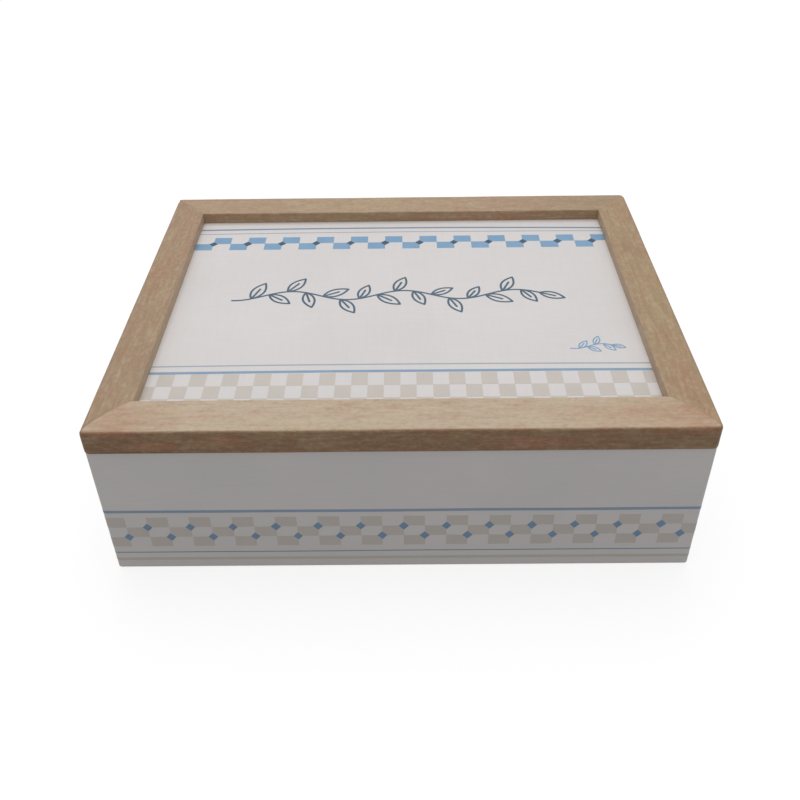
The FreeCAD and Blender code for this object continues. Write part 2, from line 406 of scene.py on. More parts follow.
@dataclass(frozen=True)
class RailWood(Finish):
    """Bare sanded wood whose grain runs along a rail."""

    stick: Stick
    width: float

    red_tone = shade(168, 120, 92)
    yellow_tone = shade(182, 163, 122)
    # The figure's dark tone, also the colour of the painted shadow line on the front rail
    dark_tone = shade(108, 82, 56)
    pale_tone = shade(222, 208, 186)
    cloud = Pattern((12.0, 40.0, 40.0))
    hue = Pattern((90.0, 210.0, 210.0), 3.0, 0.6)
    mottle = Pattern((440.0, 600.0, 600.0), 3.0, 0.65)
    fibre = Pattern((85.0, 760.0, 760.0), 4.0, 0.6)
    fleck = Pattern((520.0, 1900.0, 1900.0), 1.0)
    face_shade_fade = (1.3 * MM, 0.2 * MM)  # How far in from the outer face its tone ends, and is full; that tone is partly painted shade
    wall_light_and_shade_fade = (0.6 * MM, 0.1 * MM)  # The same for the inner wall's tone, which is painted light and shade
    figure_step = (1.0, 0.37, 0.61)  # The way in which a stick's shift moves its figure

    def lay(self, net: SurfaceNet) -> Sockets:
        """Lay mottling, fibres, flecks and patches over the rail's tone, with painted shade on the outer
        face and painted light and shade on the inner wall.

        Args:
            net: The material's tree.

        Returns:
            The values and links of the shader's sockets.
        """
        stick = self.stick
        own = net.node("ShaderNodeAttribute", {"attribute_name": RAIL_PLACE}).out("Vector")
        _, depth, _ = net.parts(own)
        shift = tuple(stick.shift * step for step in self.figure_step)
        moved = net.node("ShaderNodeMapping", sockets={"Vector": own, "Location": shift})

        cloud, hue, mottle = net.noises(moved, self.cloud, self.hue, self.mottle)
        fibre, fleck = net.noises(moved, self.fibre, self.fleck)
        pores = fleck.ramp(0.60, 0.72)

        # The outer face's tone is partly the wood's own and partly painted shade
        face = depth.ramp(*self.face_shade_fade)
        # The inner wall's tone is painted light and shade: lighter than the top on the side rails, darker
        # on the front and back
        wall = depth.ramp(*(self.width - before for before in self.wall_light_and_shade_fade))
        tone = net.mix(wall, net.mix(face, stick.top_tone, stick.face_tone_and_painted_shade), stick.wall_painted_light_and_shade)
        warmth = (hue - 0.5) * 1.5 + (cloud - 0.5) * 0.8
        red = (warmth * 0.8 + 0.06).within(0.0, 0.4) + net.blobs(own, stick.red_patches)
        tone = net.mix(red.within(0.0, 1.0), tone, self.red_tone)
        tone = net.mix((warmth * -0.9).within(0.0, 0.25), tone, self.yellow_tone)
        dark = ((0.5 - fibre) * 0.75 + (0.5 - mottle) * 0.6).within(0.0, 0.5) + pores * 0.16
        # The figure is darker on the outer face, as painted shade; the dark patches hold a painted shadow
        # line
        dark = dark * (face * 0.8 + 1.0) + net.blobs(own, stick.dark_and_shadow_patches)
        tone = net.mix(dark.within(0.0, 1.0), tone, self.dark_tone)
        pale = ((fibre - 0.5) * 0.6 + (mottle - 0.5) * 0.6).within(0.0, 0.3)
        tone = net.mix(pale, tone, self.pale_tone)

        grain = net.bump((fibre, 0.06 * MM), (pores * -1.0 + 1.0, 0.04 * MM))
        rough = (fibre - 0.5) * 0.18 + 0.62
        return {"Base Color": tone, "Roughness": rough, "Specular IOR Level": 0.32, "Normal": grain}


@dataclass(frozen=True)
class EggshellPaint(Finish):
    """Off-white paint, brushed on, a little uneven, thin along the edges."""

    tone: Colour
    low_tone: Colour
    edge_tone: Colour
    half_size: tuple[float, float]
    top: float

    cloud = Pattern((28.0, 28.0, 34.0), 3.0)
    brush = Pattern((45.0, 45.0, 900.0), 3.0, 0.6)
    speck = Pattern((900.0, 900.0, 900.0))
    corner_reach = 1.1 * MM  # How far from the corners the paint thins
    corner_fade = (-0.1 * MM, 0.9 * MM)
    foot_fade = (1.3 * MM, 0.1 * MM)
    rim_reach = 0.45 * MM

    def lay(self, net: SurfaceNet) -> Sockets:
        """Lay clouds, brush marks and thin edges over the paint.

        Args:
            net: The material's tree.

        Returns:
            The values and links of the shader's sockets.
        """
        place = net.place()
        x, y, z = net.parts(place)
        cloud, brush, speck = net.noises(place, self.cloud, self.brush, self.speck)
        low = ((0.5 - cloud) * 1.6 + (0.5 - brush) * 0.7 + 0.25).within(0.0, 1.0)
        tone = net.mix(low, self.tone, self.low_tone)
        side = abs(x) - (self.half_size[0] - self.corner_reach)
        end = abs(y) - (self.half_size[1] - self.corner_reach)
        corner = side.at_most(end).ramp(*self.corner_fade)
        foot = z.ramp(*self.foot_fade)
        rim = z.ramp(self.top - self.rim_reach, self.top)
        worn = corner.at_least(foot).at_least(rim) * cloud.ramp(0.35, 0.62)
        tone = net.mix(worn * 0.42, tone, self.edge_tone)
        skin = net.bump((brush, 0.05 * MM), (speck, 0.03 * MM))
        rough = (cloud - 0.5) * 0.16 + (brush - 0.5) * 0.12 + 0.56
        return {"Base Color": tone, "Roughness": rough, "Specular IOR Level": 0.35, "Normal": skin}


@dataclass(frozen=True)
class LinenBoard(Finish):
    """Off-white printed board with a faint linen tooth."""

    tone: Colour
    low_tone: Colour
    thread: float = 0.55 * MM

    drift = Pattern((160.0, 160.0, 160.0), 1.0)
    cloud = Pattern((16.0, 16.0, 16.0), 3.0)
    slub = Pattern((700.0, 60.0, 60.0))
    cross = Pattern((60.0, 700.0, 60.0))

    def lay(self, net: SurfaceNet) -> Sockets:
        """Lay crossing threads and faint clouds over the board.

        Args:
            net: The material's tree.

        Returns:
            The values and links of the shader's sockets.
        """
        place = net.place()
        x, y, _ = net.parts(place)
        turns = 2 * math.pi / self.thread
        drift = net.noise(place, self.drift) * 5.0
        warp = (x * turns + drift).sine()
        weft = (y * turns + drift).sine()
        weave = (warp * weft) * 0.5 + 0.5
        cloud, slub, cross = net.noises(place, self.cloud, self.slub, self.cross)
        low = ((0.5 - cloud) * 1.2 + (slub - 0.5) * 0.5 + (cross - 0.5) * 0.5 + 0.2).within(0.0, 1.0)
        low = (low + weave * 0.10).within(0.0, 1.0)
        tone = net.mix(low, self.tone, self.low_tone)
        skin = net.bump((weave, 0.012 * MM), (slub + cross, 0.02 * MM))
        rough = (cloud - 0.5) * 0.1 + weave * 0.05 + 0.62
        return {"Base Color": tone, "Roughness": rough, "Specular IOR Level": 0.3, "Normal": skin}


@dataclass(frozen=True)
class Ink(Finish):
    """A printed colour that lies a little unevenly."""

    tone: Colour
    thin_tone: Colour

    cloud = Pattern((120.0, 120.0, 120.0), 3.0)
    speck = Pattern((1100.0, 1100.0, 1100.0))

    def lay(self, net: SurfaceNet) -> Sockets:
        """Thin the ink here and there.

        Args:
            net: The material's tree.

        Returns:
            The values and links of the shader's sockets.
        """
        cloud, speck = net.noises(net.place(), self.cloud, self.speck)
        thin = ((cloud - 0.5) * 1.1 + (speck - 0.5) * 0.8 + 0.25).within(0.0, 1.0)
        tone = net.mix(thin, self.tone, self.thin_tone)
        rough = (speck - 0.5) * 0.1 + 0.6
        skin = net.bump((speck, 0.01 * MM))
        return {"Base Color": tone, "Roughness": rough, "Specular IOR Level": 0.3, "Normal": skin}


@dataclass(frozen=True)
class DullBrass(Finish):
    """Plated brass, brushed along the hinge and dull in patches of tarnish."""

    tone: Colour
    dull_tone: Colour

    brush = Pattern((120.0, 2600.0, 2600.0), 3.0)
    tarnish = Pattern((260.0, 420.0, 420.0), 4.0, 0.65)

    def lay(self, net: SurfaceNet) -> Sockets:
        """Lay brush lines and tarnish over the metal.

        Args:
            net: The material's tree.

        Returns:
            The values and links of the shader's sockets.
        """
        brush, tarnish = net.noises(net.place(), self.brush, self.tarnish)
        dull = tarnish.ramp(0.46, 0.78)
        tone = net.mix(dull * 0.6, self.tone, self.dull_tone)
        rough = dull * 0.22 + (brush - 0.5) * 0.14 + 0.27
        skin = net.bump((brush, 0.02 * MM))
        return {"Base Color": tone, "Metallic": 1.0, "Roughness": rough, "Normal": skin}


@dataclass(frozen=True)
class FibreBoard(Finish):
    """Thin brown board of pressed fibres."""

    tone: Colour
    fibre_tone: Colour
    dark_tone: Colour

    cloud = Pattern((22.0, 22.0, 22.0), 3.0)
    fibre = Pattern((520.0, 1400.0, 900.0), 4.0, 0.7)
    fleck = Pattern((1500.0, 700.0, 900.0))

    def lay(self, net: SurfaceNet) -> Sockets:
        """Lay fibres and flecks over the board.

        Args:
            net: The material's tree.

        Returns:
            The values and links of the shader's sockets.
        """
        cloud, fibre, fleck = net.noises(net.place(), self.cloud, self.fibre, self.fleck)
        tone = net.mix(fibre.ramp(0.44, 0.64), self.tone, self.fibre_tone)
        dark = ((0.5 - cloud) * 1.2 + fleck.ramp(0.62, 0.74) * 0.6).within(0.0, 0.8)
        tone = net.mix(dark, tone, self.dark_tone)
        skin = net.bump((fibre, 0.08 * MM))
        rough = fibre * 0.2 + 0.66
        return {"Base Color": tone, "Roughness": rough, "Specular IOR Level": 0.25, "Normal": skin}


# Shapes grown by geometry trees


class ShapeNet(Net):
    """A geometry tree with named inputs."""

    def __init__(self, name: str, sizes: Sizes) -> None:
        """Start a tree.

        Args:
            name: The tree's name.
            sizes: Its inputs' names and first values. A whole number makes a counting input.
        """
        super().__init__(bpy.data.node_groups.new(name, "GeometryNodeTree"))
        face = self.tree.interface
        face.new_socket("Geometry", in_out="INPUT", socket_type="NodeSocketGeometry")
        for label, first in sizes.items():
            kind = "NodeSocketInt" if isinstance(first, int) else "NodeSocketFloat"
            face.new_socket(label, in_out="INPUT", socket_type=kind).default_value = first
        face.new_socket("Finish", in_out="INPUT", socket_type="NodeSocketMaterial")
        face.new_socket("Geometry", in_out="OUTPUT", socket_type="NodeSocketGeometry")
        self.inputs = self.node("NodeGroupInput")

    def size(self, label: str) -> Value:
        """Read one of the tree's sizes."""
        return self.inputs.value(label)

    def position(self) -> Step:
        """Read where each point is."""
        return self.node("GeometryNodeInputPosition")

    def along(self) -> Value:
        """Read how far along X each point is."""
        return self.parts(self.position())[0]

    def number(self) -> Value:
        """Read each point's number."""
        return self.node("GeometryNodeInputIndex").value()

    def move(self, shape: object, place: object) -> Step:
        """Put every point of a shape at a new place."""
        return self.node("GeometryNodeSetPosition", sockets={"Geometry": shape, "Position": place})

    def mark(self, shape: object, label: str, vector: object) -> Step:
        """Keep a vector with every point of a shape.

        Args:
            shape: The shape.
            label: The name to keep the vector under.
            vector: The vector.

        Returns:
            The shape with the vector.
        """
        sockets = {"Geometry": shape, "Name": label, "Value": vector}
        settings = {"data_type": "FLOAT_VECTOR", "domain": "POINT"}
        return self.node("GeometryNodeStoreNamedAttribute", settings, sockets)

    def marked(self, label: str) -> tuple[Value, Value, Value]:
        """Read the parts of a vector that was kept."""
        kind, settings = "GeometryNodeInputNamedAttribute", {"data_type": "FLOAT_VECTOR"}
        return self.parts(self.node(kind, settings, {"Name": label}).out("Attribute"))

    def join(self, *shapes: object) -> Step:
        """Put shapes together."""
        return self.node("GeometryNodeJoinGeometry", sockets={"Geometry": list(shapes)})

    def repeat(self, points: object, shape: object, sockets: Sockets) -> Step:
        """Set a copy of a shape on every point."""
        sockets = {"Points": points, "Instance": shape, **sockets}
        return self.node("GeometryNodeInstanceOnPoints", sockets=sockets)

    def line(self, start: object, end: object) -> Step:
        """Draw a straight line."""
        return self.node("GeometryNodeCurvePrimitiveLine", sockets={"Start": start, "End": end})

    def span(self, points: int) -> Step:
        """Draw a line of even steps along X from -1 to 1."""
        line = self.line((-1.0, 0.0, 0.0), (1.0, 0.0, 0.0))
        return self.node("GeometryNodeResampleCurve", sockets={"Curve": line, "Count": points})

    def cylinder(self, vertices: int, radius: object, depth: object) -> bpy.types.NodeSocket:
        """Make an upright cylinder or prism."""
        sockets = {"Vertices": vertices, "Radius": radius, "Depth": depth}
        return self.node("GeometryNodeMeshCylinder", sockets=sockets).out("Mesh")

    def random(self, low: float, high: float, salt: int, key: object) -> Value:
        """Draw a number for each key, the same on every run.

        Args:
            low: The least it may be.
            high: The most it may be.
            salt: Sets this draw apart from the others of the tree.
            key: What the draw is made for, such as a tile's number.

        Returns:
            The numbers.
        """
        seed = self.size("Seed") + float(salt)
        sockets = {"Min": low, "Max": high, "ID": key, "Seed": seed}
        return self.node("FunctionNodeRandomValue", {"data_type": "FLOAT"}, sockets).value("Value")

    def waver(self, along: Value, length: Value | float, salt: float) -> Value:
        """Give a slow, even wander about 0 along a line.

        Args:
            along: How far along the line each point is.
            length: How far apart the wander's turns are, about.
            salt: Sets this wander apart from the others of the tree.

        Returns:
            The wander, between -0.5 and 0.5.
        """
        where = self.vector(along / length, salt, self.size("Seed"))
        sockets = {"Vector": where, "Scale": 1.0, "Detail": 1.0}
        return self.node("ShaderNodeTexNoise", sockets=sockets).value("Fac") - 0.5

    def sweep(self, line: object, width: object, thick: object) -> Step:
        """Run a flat bar along a line in the plane.

        Args:
            line: The line.
            width: How wide the bar is.
            thick: How thick it is.

        Returns:
            The bar, closed at its ends.
        """
        flat = self.node("GeometryNodeSetCurveNormal", {"mode": "Z_UP"}, {"Curve": line})
        kind = "GeometryNodeCurvePrimitiveQuadrilateral"
        bar = self.node(kind, sockets={"Width": width, "Height": thick})
        sockets = {"Curve": flat, "Profile Curve": bar, "Fill Caps": True}
        return self.node("GeometryNodeCurveToMesh", sockets=sockets)

    def close(self, shape: object, smooth: float | None = None) -> "ShapeNet":
        """End the tree: realize, shade and dress the shape.

        Args:
            shape: The finished shape.
            smooth: The turn between two faces, in degrees, under which their edge is shaded smooth.

        Returns:
            The whole tree.
        """
        kind = "GeometryNodeSetShadeSmooth"
        is_smooth = smooth is not None
        real = self.node("GeometryNodeRealizeInstances", sockets={"Geometry": shape})
        soft = self.node(kind, sockets={"Geometry": real, "Shade Smooth": is_smooth})
        if is_smooth:
            angle = self.node("GeometryNodeInputMeshEdgeAngle").value("Unsigned Angle")
            sharp = angle.above(math.radians(smooth))
            sockets = {"Geometry": soft, "Selection": sharp, "Shade Smooth": False}
            soft = self.node(kind, {"domain": "EDGE"}, sockets)
        sockets = {"Geometry": soft, "Material": self.inputs.out("Finish")}
        dressed = self.node("GeometryNodeSetMaterial", sockets=sockets)
        self.node("NodeGroupOutput", sockets={"Geometry": dressed})
        return self

    def grow(
        self, finish: bpy.types.Material, sizes: Sizes, base: bpy.types.Mesh | None = None
    ) -> bpy.types.Mesh:
        """Run the tree once.

        Args:
            finish: The material that the mesh gets.
            sizes: The values of the tree's inputs.
            base: The mesh that the tree starts from, if it needs one.

        Returns:
            The plain mesh.
        """
        base = base or bpy.data.meshes.new(self.tree.name)
        holder = stand(self.tree.name, base)
        modifier = holder.modifiers.new("Shape", "NODES")
        modifier.node_group = self.tree
        held = {**sizes, "Finish": finish}
        for item in self.tree.interface.items_tree:
            if item.in_out == "INPUT" and item.name in held:
                modifier[item.identifier] = held[item.name]
        depsgraph = bpy.context.evaluated_depsgraph_get()
        mesh = bpy.data.meshes.new_from_object(holder.evaluated_get(depsgraph))
        bpy.data.objects.remove(holder)
        bpy.data.meshes.remove(base)
        return mesh


class RailNet(ShapeNet):
    """The tree of a mitred rail, which starts from the rail's section."""

    stations = 113
    least_bow = 0.01 * MM  # Below this a joint is straight
    corner_depth = 2.5  # How deep the rounded corner reaches into the rail, in radii
    lean_share = 0.3  # The share of the width that sways
    sway_length = 45.0 * MM
    heave_length = 38.0 * MM
    full_height = 11.0 * MM
    calm = 10.0  # The greater it is, the nearer to the joints the rail still wavers
    weld = 0.0005 * MM
    smooth = 38.0

    def __init__(self) -> None:
        """Start the tree with the rail's sizes."""
        widths = millimetres(half_length=120.0, width=16.5, left_neighbour=16.5, right_neighbour=16.5)
        joints = millimetres(corner_radius=1.6, left_bow=0.0, right_bow=0.0, joint_gap=0.0, waver=0.0)
        super().__init__("mitred_rail", {**widths, **joints, "Seed": 0})

    def swept(self) -> Step:
        """Run the section along the rail.

        Returns:
            The bar, closed at its ends. Its points keep their place in the section and their station.
        """
        flat = self.mark(self.inputs.out("Geometry"), "section", self.position())
        faces = self.node("GeometryNodeInputMeshEdgeNeighbors").value("Face Count")
        sockets = {"Mesh": flat, "Selection": 1 - faces.above(1.5)}
        outline = self.node("GeometryNodeMeshToCurve", sockets=sockets)
        marked = self.mark(self.span(self.stations), "station", self.position())
        sockets = {"Curve": marked, "Profile Curve": outline}
        bar = self.node("GeometryNodeCurveToMesh", sockets=sockets)
        caps = [self.mark(flat, "station", (end, 0.0, 0.0)) for end in (-1.0, 1.0)]
        return self.join(bar, *caps)

    def mitre(self, right: Value, edge: Value, tip: Value) -> Value:
        """Work out how far short of the corner the joint cuts the rail.

        The joint runs from the corner's tip to the inner corner. It bows out on one rail and in on
        the rail that it meets, where the same curve is read the other way round.

        Args:
            right: 1 on the right half of the rail, 0 on the left.
            edge: How far in from the outer face each point is.
            tip: How far in the joint starts, on the rounded corner.

        Returns:
            The cut, along the rail.
        """
        bow = self.size("Left Bow") * (1 - right) + self.size("Right Bow") * right
        neighbour = self.size("Left Neighbour") * (1 - right) + self.size("Right Neighbour") * right
        own_run, far_run, past_tip = self.size("Width") - tip, neighbour - tip, edge - tip
        part = past_tip / own_run
        convex = tip + far_run * part - bow * 4.0 * part * (1 - part)
        hollow = (bow * -1.0).at_least(self.least_bow) * 4.0
        level = own_run - hollow
        turned = ((level * level + hollow * past_tip * 4.0).at_least(0.0).root() - level) / (hollow * 2.0)
        is_hollow = (bow * -1.0).above(self.least_bow)
        return convex * (1 - is_hollow) + (tip + far_run * turned) * is_hollow

    def draw(self) -> ShapeNet:
        """Grow the rail: rounded corners, bowed joints, a hand-sanded waver.

        Returns:
            The whole tree.
        """
        whole = self.swept()
        station, _, _ = self.marked("station")
        depth, height, _ = self.marked("section")
        share = (station * (math.pi / 2)).sine()
        half, width, radius = (self.size(label) for label in ("Half Length", "Width", "Corner Radius"))

        # The outer face turns in over the corner's arc, as far as the point where the mitre meets it
        tip = radius * (1 - 1 / math.sqrt(2))
        outer = abs(share) * (half - tip)
        into = (outer - (half - radius)).at_least(0.0)
        drop = radius - (radius * radius - into * into).at_least(0.0).root()
        near = (1 - depth / (radius * self.corner_depth)).within(0.0, 1.0)
        sunk = depth + near * drop
        cut = self.mitre(share.above(0.0), depth + near * tip, tip)
        along = share * (half - cut - self.size("Joint Gap"))

        # The waver dies out towards the joints, so that both rails meet level
        free = 1 - abs(share) ** self.calm
        sway = self.waver(along, self.sway_length, 1.3) * self.size("Waver") * free
        heave = self.waver(along, self.heave_length, 7.9) * self.size("Waver") * free
        lean = (1 - depth / (width * self.lean_share)).within(0.0, 1.0)
        rise = (height / self.full_height).within(0.0, 1.0)
        placed = self.vector(along, sunk + sway * lean, height + heave * (rise - lean * (1 - rise)))
        own = self.mark(whole, RAIL_PLACE, self.vector(along, depth, height))
        shaped = self.move(own, placed)
        for label in ("section", "station"):
            sockets = {"Geometry": shaped, "Name": label}
            shaped = self.node("GeometryNodeRemoveAttribute", sockets=sockets)
        sockets = {"Geometry": shaped, "Distance": self.weld}
        return self.close(self.node("GeometryNodeMergeByDistance", sockets=sockets), self.smooth)


class PrintNet(ShapeNet):
    """The tree of a printed row, which bends round the corners of the face that it lies on."""

    points = 161

    def __init__(self, name: str, own: Sizes) -> None:
        """Start a tree.

        Args:
            name: The tree's name.
            own: The sizes that it has besides those that all rows share.
        """
        shared = millimetres(half_length=100.0, flat_half=1000.0, corner_radius=1.0, level=0.0)
        shared |= millimetres(height=1.0, lift=0.05)
        super().__init__(name, {**shared, "Seed": 0, **own})

    def run(self) -> Step:
        """Draw the row's straight line, its points closer together towards its ends."""
        eased = (self.along() * (math.pi / 2)).sine()
        return self.move(self.span(self.points), self.vector(eased * self.size("Half Length"), 0.0, 0.0))

    def slip(self, salt: int, number: Value) -> Value:
        """Draw how far each block lies out of its place."""
        return self.random(-1.0, 1.0, salt, number) * self.size("Uneven")

    def wrap(self, shape: object) -> Step:
        """Bend what lies past the flat of a face round its rounded corners.

        Args:
            shape: The shape, drawn flat.

        Returns:
            The bent shape.
        """
        along, across, lift = self.parts(self.position())
        flat, radius = self.size("Flat Half"), self.size("Corner Radius")
        angle = (abs(along) - flat).at_least(0.0) / radius
        out = lift + radius
        past = along.sign() * out * angle.sine()
        inside = along.at_least(flat * -1.0).at_most(flat)
        return self.move(shape, self.vector(inside + past, across, out * angle.cosine() - radius))

    def press(self, line: object) -> ShapeNet:
        """End the tree with a line that gets the row's height and is bent round the corners."""
        return self.close(self.wrap(self.sweep(line, self.size("Height"), self.size("Lift") * 2.0)))


def stripe_tree() -> ShapeNet:
    """Grow a printed stripe that bows and wanders a little.

    Returns:
        The tree.
    """
    net = PrintNet("printed_stripe", millimetres(bow=0.0, tilt=0.0, wander=0.0, wave=80.0))
    line = net.run()
    along = net.along()
    share = along / net.size("Half Length")
    bowed = net.size("Bow") * (1 - share * share) + net.size("Tilt") * share
    wandered = net.waver(along, net.size("Wave"), 2.7) * net.size("Wander")
    return net.press(net.move(line, net.vector(along, net.size("Level") + bowed + wandered, 0.0)))


def block_tree() -> ShapeNet:
    """Grow a row of printed blocks, cut where the row ends.

    Returns:
        The tree.
    """
    own = millimetres(first=0.0, pitch=10.0, block=5.0, uneven=0.0)
    net = PrintNet("printed_blocks", {**own, "Count": 5})
    half = net.size("Half Length")
    sockets = {"Geometry": net.run(), "Amount": net.size("Count")}
    copies = net.node("GeometryNodeDuplicateElements", {"domain": "SPLINE"}, sockets)
    number = copies.value("Duplicate Index")
    start = net.size("First") + number * net.size("Pitch")
    low = (start + net.slip(1, number)).at_least(half * -1.0) + half
    high = (start + net.size("Block") + net.slip(2, number)).at_most(half) + half
    # Sockets 4 and 5 are the cut's two ends, measured along the line
    sockets = {"Curve": copies.out("Geometry"), 4: low, 5: high}
    cut = net.node("GeometryNodeTrimCurve", {"mode": "LENGTH"}, sockets)
    return net.press(net.move(cut, net.vector(net.along(), net.size("Level"), 0.0)))


def diamond_tree() -> ShapeNet:
    """Grow a row of printed diamonds, each a little different.

    Returns:
        The tree.
    """
    own = millimetres(first=0.0, pitch=10.0, block=4.0, uneven=0.0)
    net = PrintNet("printed_diamonds", {**own, "Count": 5})
    sockets = {
        "Count": net.size("Count"),
        "Start Location": net.vector(net.size("First"), net.size("Level"), 0.0),
        "Offset": net.vector(net.size("Pitch"), 0.0, 0.0),
    }
    row = net.node("GeometryNodeMeshLine", {"mode": "OFFSET"}, sockets)
    number = net.number()
    slip = net.vector(net.slip(1, number), net.slip(2, number), 0.0)
    row = net.node("GeometryNodeSetPosition", sockets={"Geometry": row, "Offset": slip})
    grown = net.random(0.94, 1.06, 3, number)
    turn = net.vector(0.0, 0.0, net.random(-0.05, 0.05, 4, number))
    size = net.vector(net.size("Block") * grown, net.size("Height") * grown, net.size("Lift") * 2.0)
    tile = net.cylinder(4, 0.5, 1.0)
    return net.close(net.repeat(row, tile, {"Rotation": turn, "Scale": size}))


class SprigNet(ShapeNet):
    """The tree of a drawn sprig: a waved stem, open leaves on both its sides, round pen ends."""

    points = 201
    edge_points = 18
    nib_sides = 12
    belly = 0.45  # Where along a leaf it is broadest
    rib_share = 0.62
    angle_stray = 0.12  # How far a leaf's angle may differ, in radians
    leaf_sizes = (0.86, 1.12)  # The smallest and the greatest, in leaf lengths
    stroke_step = 0.12  # How much higher than the last a crossing stroke lies, in lifts

    def __init__(self) -> None:
        """Start the tree with the sprig's sizes."""
        stem = millimetres(half_length=80.0, rise=4.0, wave=50.0, pen=1.0, lift=0.05)
        leaf = millimetres(leaf_length=12.0, leaf_breadth=6.0)
        own = {"Phase": 0.0, "Leaf Angle": 0.9, "Leaf Count": 12, "Seed": 0}
        super().__init__("drawn_sprig", {**stem, **leaf, **own})
        # Strokes that cross lie this much above each other, so that no two faces coincide
        self.layer = self.size("Lift") * self.stroke_step

    def stem(self) -> Step:
        """Draw the waved stem.

        Returns:
            Its line.
        """
        line = self.span(self.points)
        along = self.along() * self.size("Half Length")
        swing = (along / self.size("Wave") * (2 * math.pi) + self.size("Phase")).sine()
        return self.move(line, self.vector(along, swing * self.size("Rise"), 0.0))

    def leaf(self) -> Step:
        """Draw one leaf along X.

        Returns:
            Its two bowed edges and its rib.
        """
        length, breadth = self.size("Leaf Length"), self.size("Leaf Breadth")
        strokes = []
        for way, level in ((1.0, self.layer), (-1.0, self.layer * 2.0)):
            sockets = {
                "Start": self.vector(0.0, 0.0, level),
                "Middle": self.vector(length * self.belly, breadth * way, level),
                "End": self.vector(length, 0.0, level),
                "Resolution": self.edge_points,
            }
            strokes.append(self.node("GeometryNodeCurveQuadraticBezier", sockets=sockets))
        level = self.layer * 3.0
        tip = self.vector(length * self.rib_share, 0.0, level)
        rib = self.line(self.vector(0.0, 0.0, level), tip)
        return self.join(*strokes, rib)

    def leaves(self, stem: Step) -> Step:
        """Set leaves along the stem, on one side and the other by turns, and one on its tip.

        Args:
            stem: The stem.

        Returns:
            The leaves.
        """
        count = self.size("Leaf Count")
        sockets = {"Curve": stem, "Count": count}
        knots = self.node("GeometryNodeCurveToPoints", {"mode": "COUNT"}, sockets)
        number = self.number()
        side = (number % 2.0 * 2.0 - 1) * (1 - number.above(count - 1.5))
        tangent_x, tangent_y, _ = self.parts(knots.out("Tangent"))
        stray = self.random(-self.angle_stray, self.angle_stray, 1, number)
        spread = side * (self.size("Leaf Angle") + stray)
        turn = self.vector(0.0, 0.0, tangent_y.heading(tangent_x) + spread)
        grown = self.random(*self.leaf_sizes, 2, number)
        sockets = {"Selection": number.above(0.5), "Rotation": turn, "Scale": grown}
        leaves = self.repeat(knots.out("Points"), self.leaf(), sockets)
        return self.node("GeometryNodeRealizeInstances", sockets={"Geometry": leaves})

    def nibs(self, lines: Step, thick: Value) -> Step:
        """Round the pen's ends.

        Args:
            lines: The drawn lines.
            thick: How thick the ink is.

        Returns:
            A small disc on every end.
        """
        tips = self.node("GeometryNodeCurveEndpointSelection", sockets={"Start Size": 1, "End Size": 1})
        kept = self.node("GeometryNodeCaptureAttribute", {"domain": "POINT"}, {"Geometry": lines})
        kept.node.capture_items.new("BOOLEAN", "Tip")
        self.feed(kept.node.inputs["Tip"], tips)
        sockets = {"Curve": kept.out("Geometry")}
        dots = self.node("GeometryNodeCurveToPoints", {"mode": "EVALUATED"}, sockets)
        above_strokes = thick + self.layer * 8.0
        disc = self.cylinder(self.nib_sides, self.size("Pen") * 0.5, above_strokes)
        return self.repeat(dots.out("Points"), disc, {"Selection": kept.out("Tip")})

    def draw(self) -> ShapeNet:
        """Draw the whole sprig.

        Returns:
            The whole tree.
        """
        stem = self.stem()
        drawn = self.join(stem, self.leaves(stem))
        drawn = self.node("GeometryNodeSetCurveRadius", sockets={"Curve": drawn, "Radius": 1.0})
        thick = self.size("Lift") * 2.0
        strokes = self.sweep(drawn, self.size("Pen"), thick)
        return self.close(self.join(strokes, self.nibs(drawn, thick)))


# Pieces


def settle(name: str, placed: Iterable[Placed], slot: str) -> bpy.types.Object:
    """Make one piece of meshes that are each turned into place.

    Args:
        name: The piece's name.
        placed: Each mesh with the matrix that puts it in its place. They share one material.
        slot: The record's material slot. Not used.

    Returns:
        The piece, riding on the box.
    """
    whole = bmesh.new()
    for mesh, place in placed:
        finish = next(material for material in mesh.materials if material is not None)
        mesh.transform(place)
        whole.from_mesh(mesh)
        bpy.data.meshes.remove(mesh)
    bmesh.ops.recalc_face_normals(whole, faces=whole.faces)
    for part in whole.faces:
        part.material_index = 0
    final = bpy.data.meshes.new(name)
    whole.to_mesh(final)
    whole.free()
    final.materials.append(finish)
    piece = stand(name, final)
    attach(piece, "root")
    LOG.info("%s: %d faces", name, len(final.polygons))
    return piece


def dress(node: str, finish: bpy.types.Material) -> None:
    """Give a CAD node its material.

    Args:
        node: The node's name.
        finish: The material.
    """
    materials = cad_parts[node].data.materials
    materials.clear()
    materials.append(finish)
    LOG.info("%s: dressed in %s", node, finish.name)


def dip(share: float) -> float:
    """Give how high a quarter circle stands so far along: 1 up to its start, 0 at its end."""
    return math.sqrt(max(0.0, 1 - max(0.0, share) ** 2))


class Side(Enum):
    """A side of the box. Its value is its turn about the upright, in degrees from the front."""

    FRONT = 0
    RIGHT = 90
    BACK = 180
    LEFT = 270

    def place(self, away: float, height: float = 0.0) -> Matrix:
        """Give the place of what is made for the front, so far out from the middle of the box."""
        turn = Matrix.Rotation(math.radians(self.value), 4, "Z")
        return turn @ Matrix.Translation((0.0, -away, height))

    def halves(self, half_length: float, half_depth: float) -> tuple[float, float]:
        """Give half of what runs along the side, and how far out the side stands."""
        along_length = self in (Side.FRONT, Side.BACK)
        return (half_length, half_depth) if along_length else (half_depth, half_length)
